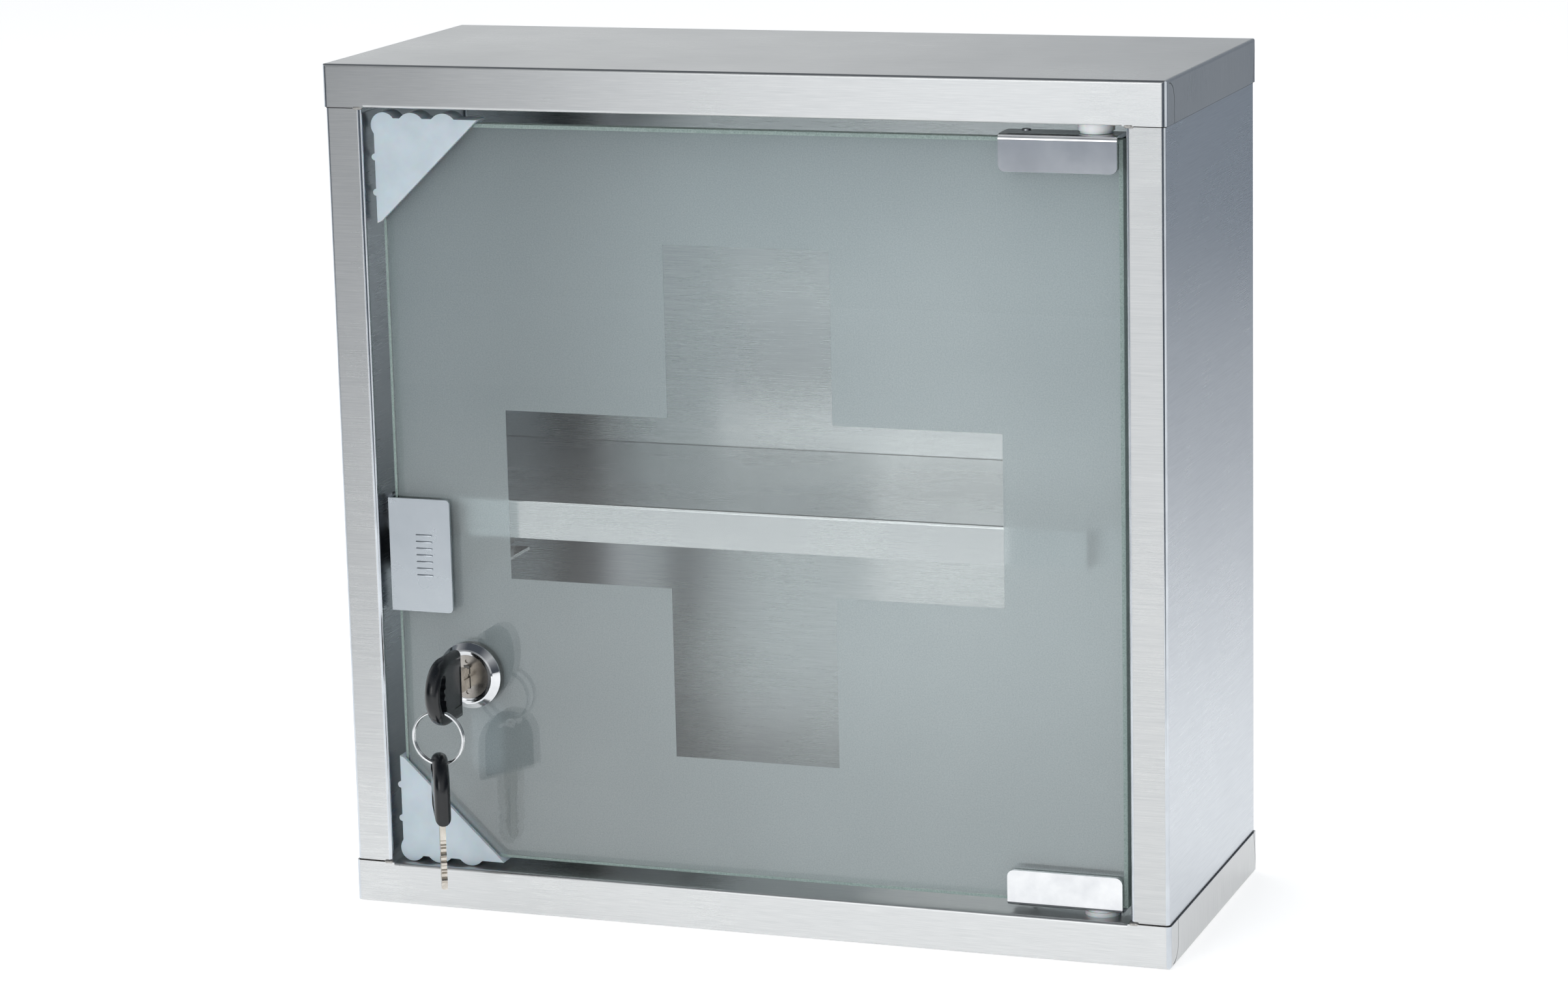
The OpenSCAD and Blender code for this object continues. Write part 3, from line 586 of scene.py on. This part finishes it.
@dataclass
class SubAssembly:
    """A group of the cabinet's pieces that are made and dressed together.

    The three settings below are for broken edges: points this close are one point, faces that turn
    less than flat_deg are one face, and edges that turn more than crisp_deg are shaded crisp.
    """

    frame: dict[str, Any]
    library: Library
    join_mm: float = 0.002
    flat_deg: float = 0.6
    crisp_deg: float = 50.0

    def build(self) -> None:
        """Makes and dresses the group's pieces."""
        raise NotImplementedError

    def dress(self, finishes: dict[str, Finish]) -> None:
        """Gives each named node its finish.

        Args:
            finishes: Node name against finish.
        """
        for node, finish in finishes.items():
            self.cover(self.frame["nodes"][node], finish)

    def cover(self, piece: bpy.types.Object, *finishes: Finish) -> None:
        """Puts finishes on a piece.

        Args:
            piece: The object to dress.
            *finishes: Its finishes, the first of them on every face until faces are told otherwise.
        """
        piece.data.materials.clear()
        for finish in finishes:
            piece.data.materials.append(self.library.get(finish))
        LOG.info("%s: %s", piece.name, ", ".join(f.name for f in finishes))

    def body_of(self, node: str) -> str:
        """Names the body that carries a node."""
        bodies = self.frame["record"]["behaviour"]["bodies"]
        return next(body for body, nodes in bodies.items() if node in nodes)

    def slot_of(self, node: str) -> str:
        """Names the record's material slot of a node."""
        parts = self.frame["record"]["subparts"]
        return next(part["material_slot"] for part in parts if part["node"] == node)

    def eased(self, node: str, finish: Finish, width_mm: float, turn_deg: float = 35.0) -> bpy.types.Object:
        """Replaces a node with a copy whose sharp edges are broken, as a real part's are.

        Args:
            node: The node to copy and replace.
            finish: The copy's finish.
            width_mm: Width of the broken edges.
            turn_deg: Edges that turn more than this are broken.

        Returns:
            The copy.
        """
        mesh = bmesh.new()
        mesh.from_mesh(self.frame["nodes"][node].data)
        bmesh.ops.remove_doubles(mesh, verts=mesh.verts, dist=self.join_mm * MM)
        bmesh.ops.dissolve_limit(
            mesh, angle_limit=math.radians(self.flat_deg), verts=mesh.verts, edges=mesh.edges,
            use_dissolve_boundaries=False,
        )
        turn = math.radians(turn_deg)
        sharp = [e for e in mesh.edges if len(e.link_faces) == 2 and e.calc_face_angle(0.0) > turn]
        bmesh.ops.bevel(
            mesh, geom=sharp, offset=width_mm * MM, offset_type="OFFSET", segments=2, profile=0.5,
            affect="EDGES", clamp_overlap=True,
        )
        data = bpy.data.meshes.new(f"{node}_eased")
        mesh.to_mesh(data)
        mesh.free()
        data.shade_smooth()
        data.set_sharp_from_angle(angle=math.radians(self.crisp_deg))
        piece = bpy.data.objects.new(f"{node}_eased", data)
        bpy.context.scene.collection.objects.link(piece)
        level = piece.modifiers.new("even_faces", "WEIGHTED_NORMAL")
        level.keep_sharp = True
        self.cover(piece, finish)
        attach(piece, self.body_of(node))
        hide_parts(node)
        return piece


@dataclass
class Case(SubAssembly):
    """The sheet metal case with its shelf.

    The fields are shares of a face's normal: how far it must face sideways to be part of a tab, to
    the front or rear to be part of a stile or flange, and both at once to be part of a bend.
    """

    tab: float = 0.75
    stile: float = 0.7
    bend: float = 0.17

    def build(self) -> None:
        """Dresses the case. The grain goes round each fold, so tabs and flanges differ from their sheet, and
        the sides, hinge stile, back and bends carry painted light and shade in their colours.
        """
        self.dress({"back_panel": BACK_STEEL_LIT, "corner_welds": WELD, "latch_bracket": BACK_STEEL_LIT})
        for node, steel in (("top_cap", CAP_STEEL), ("bottom_cap", CAP_STEEL), ("shelf", SHELF_STEEL)):
            piece = self.frame["nodes"][node]
            self.cover(piece, steel, TAB_STEEL, BEND_STEEL_COOL_TINT)
            for face in piece.data.polygons:
                if node != "shelf" and self.is_bend(face):
                    face.material_index = 2
                elif abs(face.normal.x) > self.tab:
                    face.material_index = 1
        for node, steel in (("left_side", STILE_STEEL), ("right_side", HINGE_STEEL_SHADED)):
            piece = self.frame["nodes"][node]
            self.cover(piece, SIDE_STEEL_COOL_TINT, steel, BEND_STEEL_COOL_TINT)
            for face in piece.data.polygons:
                if self.is_bend(face):
                    face.material_index = 2
                elif abs(face.normal.y) > self.stile:
                    face.material_index = 1

    def is_bend(self, face: bpy.types.MeshPolygon) -> bool:
        """Tells whether a face is part of an upright bend or a rounded corner."""
        return min(abs(face.normal.x), abs(face.normal.y)) > self.bend


@dataclass
class SeamShade(SubAssembly):
    """The ground seams between sides and caps: a dark hairline round each corner of the case, painted shade
    for the gap where a cap meets a side.

    It is a ribbon of height_mm, proud of the sheet by proud_mm, that follows the sheet's bend_mm radius.
    """

    height_mm: float = 0.4
    proud_mm: float = 0.04
    bend_mm: float = 1.4
    bend_steps: int = 6

    def build(self) -> None:
        """Lays a ribbon of painted shade on each side sheet, along the edges of both caps."""
        mesh = bmesh.new()
        for side, mirrored in (("left_side", 1.0), ("right_side", -1.0)):
            low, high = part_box(side)
            outer = low.x if mirrored > 0 else -high.x
            inner = high.x if mirrored > 0 else -low.x
            path = [(mirrored * x, y) for x, y in self.path(outer, inner, low.y, high.y)]
            for edge, away in ((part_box("top_cap")[0].z, -1.0), (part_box("bottom_cap")[1].z, 1.0)):
                self.add_ribbon(mesh, path, edge, edge + away * self.height_mm * MM)
        bmesh.ops.recalc_face_normals(mesh, faces=mesh.faces)
        data = bpy.data.meshes.new("cap_seam_shade")
        mesh.to_mesh(data)
        mesh.free()
        piece = bpy.data.objects.new("cap_seam_shade", data)
        bpy.context.scene.collection.objects.link(piece)
        # The ribbon is painted shade: near black, it darkens the hairline gap between cap and side.
        self.cover(piece, SEAM_SHADE)
        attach(piece, self.body_of("corner_welds"))
        self.slot_of("corner_welds")

    def path(self, outer: float, inner: float, front: float, rear: float) -> list[tuple[float, float]]:
        """Gives the line that a ribbon follows round the left side's outline.

        Args:
            outer: X of the side's outside.
            inner: X of the stile's edge at the opening.
            front: Y of the stile's front.
            rear: Y of the side's rear.

        Returns:
            Places (X, Y) from the opening, round the bend, to the rear.
        """
        bend = self.bend_mm * MM
        radius = bend + self.proud_mm * MM
        points = [(inner, front - self.proud_mm * MM)]
        for step in range(self.bend_steps + 1):
            turn = math.radians(90 * step / self.bend_steps)
            points.append((outer + bend - radius * math.sin(turn), front + bend - radius * math.cos(turn)))
        return points + [(outer - self.proud_mm * MM, rear - bend)]

    def add_ribbon(
        self, mesh: bmesh.types.BMesh, path: list[tuple[float, float]], start: float, end: float
    ) -> None:
        """Adds an upright ribbon along a path.

        Args:
            mesh: The mesh that gets the ribbon.
            path: The places (X, Y) that it stands on.
            start: The height of one edge.
            end: The height of the other edge.
        """
        rows = [[mesh.verts.new((x, y, z)) for x, y in path] for z in (start, end)]
        for i in range(len(path) - 1):
            mesh.faces.new((rows[0][i], rows[0][i + 1], rows[1][i + 1], rows[1][i]))


@dataclass
class Door(SubAssembly):
    """The glass with its ground edges, its frosting and its moulded corner guards.

    A face of the glass that turns further from the front than faces_front allows is part of its edge.
    """

    gap_mm: float = 0.03
    faces_front: float = 0.95
    guard_edge_mm: float = 0.25

    def build(self) -> None:
        """Dresses the glass, and sets the frosting a hair behind it so that the faces don't share a place."""
        pane = self.frame["nodes"]["glass_pane"]
        self.cover(pane, GLASS, EDGE)
        for face in pane.data.polygons:
            if abs(face.normal.y) < self.faces_front:
                face.material_index = 1
        film = self.frame["nodes"]["frosted_film"].copy()
        film.data = film.data.copy()
        film.parent = None
        film.name = "frosted_layer"
        for key in [k for k in film.keys() if k.startswith("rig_")]:
            del film[key]
        bpy.context.scene.collection.objects.link(film)
        film.data.transform(Matrix.Translation((0.0, self.gap_mm * MM, 0.0)))
        self.cover(film, FROST)
        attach(film, self.body_of("frosted_film"))
        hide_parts("frosted_film")
        self.slot_of("frosted_film")
        for node in ("upper_corner_guard", "lower_corner_guard"):
            self.eased(node, GUARD, self.guard_edge_mm)


@dataclass
class Hinges(SubAssembly):
    """The pivot clips with their bushes, pins, pads and screws."""

    edge_mm: float = 0.35

    def build(self) -> None:
        """Dresses the hinges and breaks the clips' edges."""
        self.dress({
            "upper_bush": NYLON, "lower_bush": NYLON, "upper_pin": TURNED, "lower_pin": TURNED,
            "clip_pads": PAD, "pressure_plates": ZINC, "clip_screws": ZINC,
        })
        for node in ("upper_clip", "lower_clip"):
            self.eased(node, CHROME, self.edge_mm)


@dataclass
class Latch(SubAssembly):
    """The strike plate on the glass and the push latch behind it."""

    edge_mm: float = 0.22

    def build(self) -> None:
        """Dresses the latch and breaks the strike's edges."""
        self.dress({
            "latch_housing": LATCH_BODY, "latch_screws": ZINC, "latch_plunger": NYLON,
            "latch_magnet": MAGNET, "latch_spring": TURNED, "strike_liner": RUBBER,
        })
        self.eased("strike_plate", SATIN_PLATE, self.edge_mm)


@dataclass
class Lock(SubAssembly):
    """The cam lock. The plug's inner faces within keyway_mm, its width and height, are the keyway's."""

    keyway_mm: tuple[float, float] = (2.6, 8.6)

    def build(self) -> None:
        """Dresses the lock, and paints shade on the inside of the keyway."""
        self.dress({
            "lock_body": CHROME, "lock_gaskets": RUBBER, "lock_nut": ZINC, "lock_cam": ZINC,
            "cam_screw": ZINC,
        })
        plug = self.frame["nodes"]["lock_plug"]
        # The keyway's faces get painted shade, near black, for the depth of the slot.
        self.cover(plug, NICKEL_PLUG, KEYWAY_SHADE)
        low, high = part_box("lock_plug")
        middle = (low + high) / 2
        width, height = (size * MM for size in self.keyway_mm)
        for face in plug.data.polygons:
            away = face.center - middle
            if abs(away.x) < width / 2 and abs(away.z) < height / 2 and abs(face.normal.y) < 0.5:
                face.material_index = 1


@dataclass
class Keys(SubAssembly):
    """Both keys and their split ring."""

    edge_mm: float = 0.25

    def build(self) -> None:
        """Dresses the keys and breaks the bows' edges."""
        self.dress({"key_blade": NICKEL_KEY, "spare_key_blade": NICKEL_KEY, "key_ring": WIRE})
        for node in ("key_bow", "spare_key_bow"):
            self.eased(node, KEY_BLACK, self.edge_mm)


# ---------------------------------------------------------------- studio


CARD_LIFT = 0.003


@dataclass(frozen=True)
class Fade:
    """A card's density, which rises from none to full between two places along a direction."""

    along: tuple[float, float, float]
    start: float
    full: float


class Seen(Enum):
    """What shows a card: reflections, or light that comes in through the glass."""

    REFLECTED = "glossy"
    THROUGH_GLASS = "transmission"


@dataclass(frozen=True)
class Card:
    """A matt card for mirrors to see. It is densest where all of its fades are full."""

    name: str
    corners: tuple[tuple[float, float, float], ...]
    code: str
    fades: tuple[Fade, ...] = ()
    seen: Seen = Seen.REFLECTED


def on_floor(*corners: tuple[float, float]) -> tuple[tuple[float, float, float], ...]:
    """Lays a card's corners just clear of the floor."""
    return tuple((x, y, CARD_LIFT) for x, y in corners)


def upright(
    left: tuple[float, float], right: tuple[float, float], low: float, high: float
) -> tuple[tuple[float, float, float], ...]:
    """Stands a card between two places on the floor, from one height to another."""
    return ((*left, low), (*right, low), (*right, high), (*left, high))


@dataclass
class Studio:
    """Pale floor, soft lights and the camera."""

    lens_mm: float = 104.76
    eye: tuple[float, float, float] = (0.5293, -1.4799, 0.4836)
    aim: tuple[float, float, float] = (-0.0048, -0.0031, 0.1441)
    roll_deg: float = 1.34
    floor_half: float = 8.0
    floor_drop_mm: float = 0.4
    floor_glow: float = 0.54
    room_strength: float = 1.1
    cards: tuple[Card, ...] = (
        Card("card_back_right", upright((0.14, 1.0), (1.7, 0.7), 0.01, 1.3), "#7f868f",
             (Fade((0.0, 0.0, 1.0), 0.0, 0.05),)),
        Card("card_front", on_floor((-3.0, -4.2), (3.0, -4.2), (3.0, -0.6), (-3.0, -0.6)), "#989fa9",
             (Fade((0.0, -1.0, 0.0), 0.5, 2.1),)),
        Card("card_inside", on_floor((-2.5, -2.6), (0.7, -2.6), (0.7, -0.3), (-2.5, -0.3)), "#616b75",
             (Fade((0.0, -1.0, 0.0), 0.4, 0.9),), Seen.THROUGH_GLASS),
        Card("card_left", upright((-3.0, -1.1), (-1.05, -2.3), 0.01, 1.5), "#1b2026"),
        Card("card_left_floor", on_floor((-3.0, -2.6), (-0.5, -2.6), (-0.1, -0.2), (-3.0, -0.2)), "#4f5964",
             (Fade((-0.3, -1.0, 0.0), 0.0, 1.6), Fade((-0.92, 0.39, 0.0), -0.04, 0.12))),
        Card("card_back", upright((-0.6, 1.05), (0.14, 1.05), 0.3, 1.3), "#90959b",
             (Fade((1.0, 0.0, 0.0), -0.4, 0.3),)),
        Card("card_back_floor", on_floor((0.16, 0.07), (1.7, 0.0), (1.7, 0.9), (0.16, 0.99)), "#9ea4ad",
             (Fade((0.0, 1.0, 0.0), 0.1, 1.15),)),
        Card("card_right", on_floor((0.25, -2.6), (2.6, -2.6), (2.6, -1.8), (0.3, -0.25)), "#4b525b",
             (Fade((0.5, -0.87, 0.0), 0.25, 0.7),)),
    )

    def build(self) -> None:
        """Sets up the floor, the surroundings, the lamps and the camera."""
        self.add_floor()
        self.add_surroundings()
        # The overhead box lights the floor and the plastics, and the steel doesn't mirror it.
        self.add_lamp("overhead", (-0.4, -0.6, 2.4), (0.0, 0.0, 0.1), (2.4, 2.4), 40.0).visible_glossy = False
        self.add_lamp("front", (-0.59, -2.6, 0.75), (0.0, 0.0, 0.15), (0.87, 1.0), 5.2)
        # Cards that only mirrors see: the dark room round the pale floor, as the steel shows it.
        for card in self.cards:
            self.add_card(card)
        self.add_camera()

    def add_floor(self) -> None:
        """Lays the floor."""
        half, low = self.floor_half, -self.floor_drop_mm * MM
        data = bpy.data.meshes.new("floor")
        places = [(-half, -half, low), (half, -half, low), (half, half, low), (-half, half, low)]
        data.from_pydata(places, [], [(0, 1, 2, 3)])
        floor = bpy.data.objects.new("floor", data)
        bpy.context.scene.collection.objects.link(floor)
        material, tree, output = new_tree("matt_white_card")
        fibre = noise(tree, (6.0, 6.0, 6.0), 3.0)
        shader = add_node(tree, "ShaderNodeBsdfPrincipled", {
            "Base Color": blend_colours(tree, ranged(tree, fibre, 0.0, 1.0), "#f6f6f6", "#f9f9f9"),
            "Roughness": 0.9, "Specular IOR Level": 0.1,
            "Emission Color": linear("#ffffff"), "Emission Strength": self.floor_glow,
        })
        tree.links.new(shader.outputs[0], output.inputs[0])
        data.materials.append(material)

    def add_surroundings(self) -> None:
        """Gives the room: pale at the horizon, greyer overhead and to the right."""
        world = bpy.data.worlds.new("studio")
        bpy.context.scene.world = world
        world.use_nodes = True
        tree = world.node_tree
        tree.nodes.clear()
        place = add_node(tree, "ShaderNodeTexCoord").outputs["Generated"]
        parts = add_node(tree, "ShaderNodeSeparateXYZ", {0: place}).outputs
        height = ranged(tree, parts["Z"], 0.0, 1.0, (0.3, 0.9))
        right = ranged(tree, parts["X"], 0.0, 1.0, (0.45, 0.9))
        share = add_node(tree, "ShaderNodeMath", {0: height, 1: right}, operation="MAXIMUM").outputs[0]
        colour = blend_colours(tree, share, "#f0f2f3", "#4b5057")
        back = add_node(tree, "ShaderNodeBackground", {"Color": colour, "Strength": self.room_strength})
        output = add_node(tree, "ShaderNodeOutputWorld")
        tree.links.new(back.outputs[0], output.inputs[0])

    def add_lamp(
        self, name: str, place: tuple[float, float, float], aim: tuple[float, float, float],
        sides: tuple[float, float], watts: float,
    ) -> bpy.types.Object:
        """Hangs one softbox.

        Args:
            name: The lamp's name.
            place: Where it hangs, in metres.
            aim: The point that it faces.
            sides: Its width and height in metres.
            watts: Its power.

        Returns:
            The lamp.
        """
        data = bpy.data.lights.new(name, "AREA")
        data.shape = "RECTANGLE"
        data.size, data.size_y = sides
        data.energy = watts
        lamp = bpy.data.objects.new(name, data)
        lamp.location = place
        lamp.rotation_mode = "QUATERNION"
        lamp.rotation_quaternion = (Vector(aim) - Vector(place)).to_track_quat("-Z", "Y")
        bpy.context.scene.collection.objects.link(lamp)
        return lamp

    def add_card(self, card: Card) -> None:
        """Sets up one matt card that the camera and the lamps don't see.

        Args:
            card: The card's place, colour and fades.
        """
        data = bpy.data.meshes.new(card.name)
        data.from_pydata(card.corners, [], [(0, 1, 2, 3)])
        piece = bpy.data.objects.new(card.name, data)
        bpy.context.scene.collection.objects.link(piece)
        piece.visible_camera = False
        piece.visible_diffuse = False
        piece.visible_shadow = False
        piece.visible_glossy = card.seen is Seen.REFLECTED
        piece.visible_transmission = card.seen is Seen.THROUGH_GLASS
        material, tree, output = new_tree(f"{card.name}_paper")
        settings = {"Base Color": linear(card.code), "Roughness": 0.9}
        paper = add_node(tree, "ShaderNodeBsdfPrincipled", settings)
        clear = add_node(tree, "ShaderNodeBsdfTransparent")
        place = add_node(tree, "ShaderNodeTexCoord").outputs["Object"]
        density = 1.0
        for fade in card.fades:
            settings = {0: place, 1: fade.along}
            along = add_node(tree, "ShaderNodeVectorMath", settings, operation="DOT_PRODUCT").outputs["Value"]
            share = ranged(tree, along, 0.0, 1.0, (fade.start, fade.full))
            settings = {0: share, 1: density}
            density = add_node(tree, "ShaderNodeMath", settings, operation="MULTIPLY").outputs[0]
        mix = add_node(tree, "ShaderNodeMixShader", {0: density, 1: clear.outputs[0], 2: paper.outputs[0]})
        tree.links.new(mix.outputs[0], output.inputs[0])
        data.materials.append(material)

    def add_camera(self) -> None:
        """Places the camera at the photograph's angle."""
        data = bpy.data.cameras.new("camera")
        data.lens = self.lens_mm
        data.sensor_width = 36.0
        data.clip_start = 0.05
        data.clip_end = 60.0
        camera = bpy.data.objects.new("camera", data)
        camera.location = self.eye
        forward = Vector(self.aim) - Vector(self.eye)
        turn = forward.to_track_quat("-Z", "Y")
        camera.rotation_mode = "QUATERNION"
        camera.rotation_quaternion = turn @ Quaternion((0, 0, 1), math.radians(-self.roll_deg))
        bpy.context.scene.collection.objects.link(camera)
        bpy.context.scene.camera = camera
        settings = bpy.context.scene.view_settings
        settings.view_transform = "Standard"
        settings.look = "None"


def corners(bounds: tuple[Vector, Vector]) -> list[list[float]]:
    """Turns a box's two corners into plain lists."""
    return [list(corner) for corner in bounds]


def main() -> None:
    """Builds the sub-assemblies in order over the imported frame, then the studio."""
    logging.basicConfig(level=logging.INFO, format="%(name)s: %(message)s")
    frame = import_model()
    library = Library()
    for group in (Case, SeamShade, Door, Hinges, Latch, Lock, Keys):
        LOG.info("building %s", group.__name__)
        group(frame, library).build()
    Studio().build()


if __name__ == "__main__":
    main()
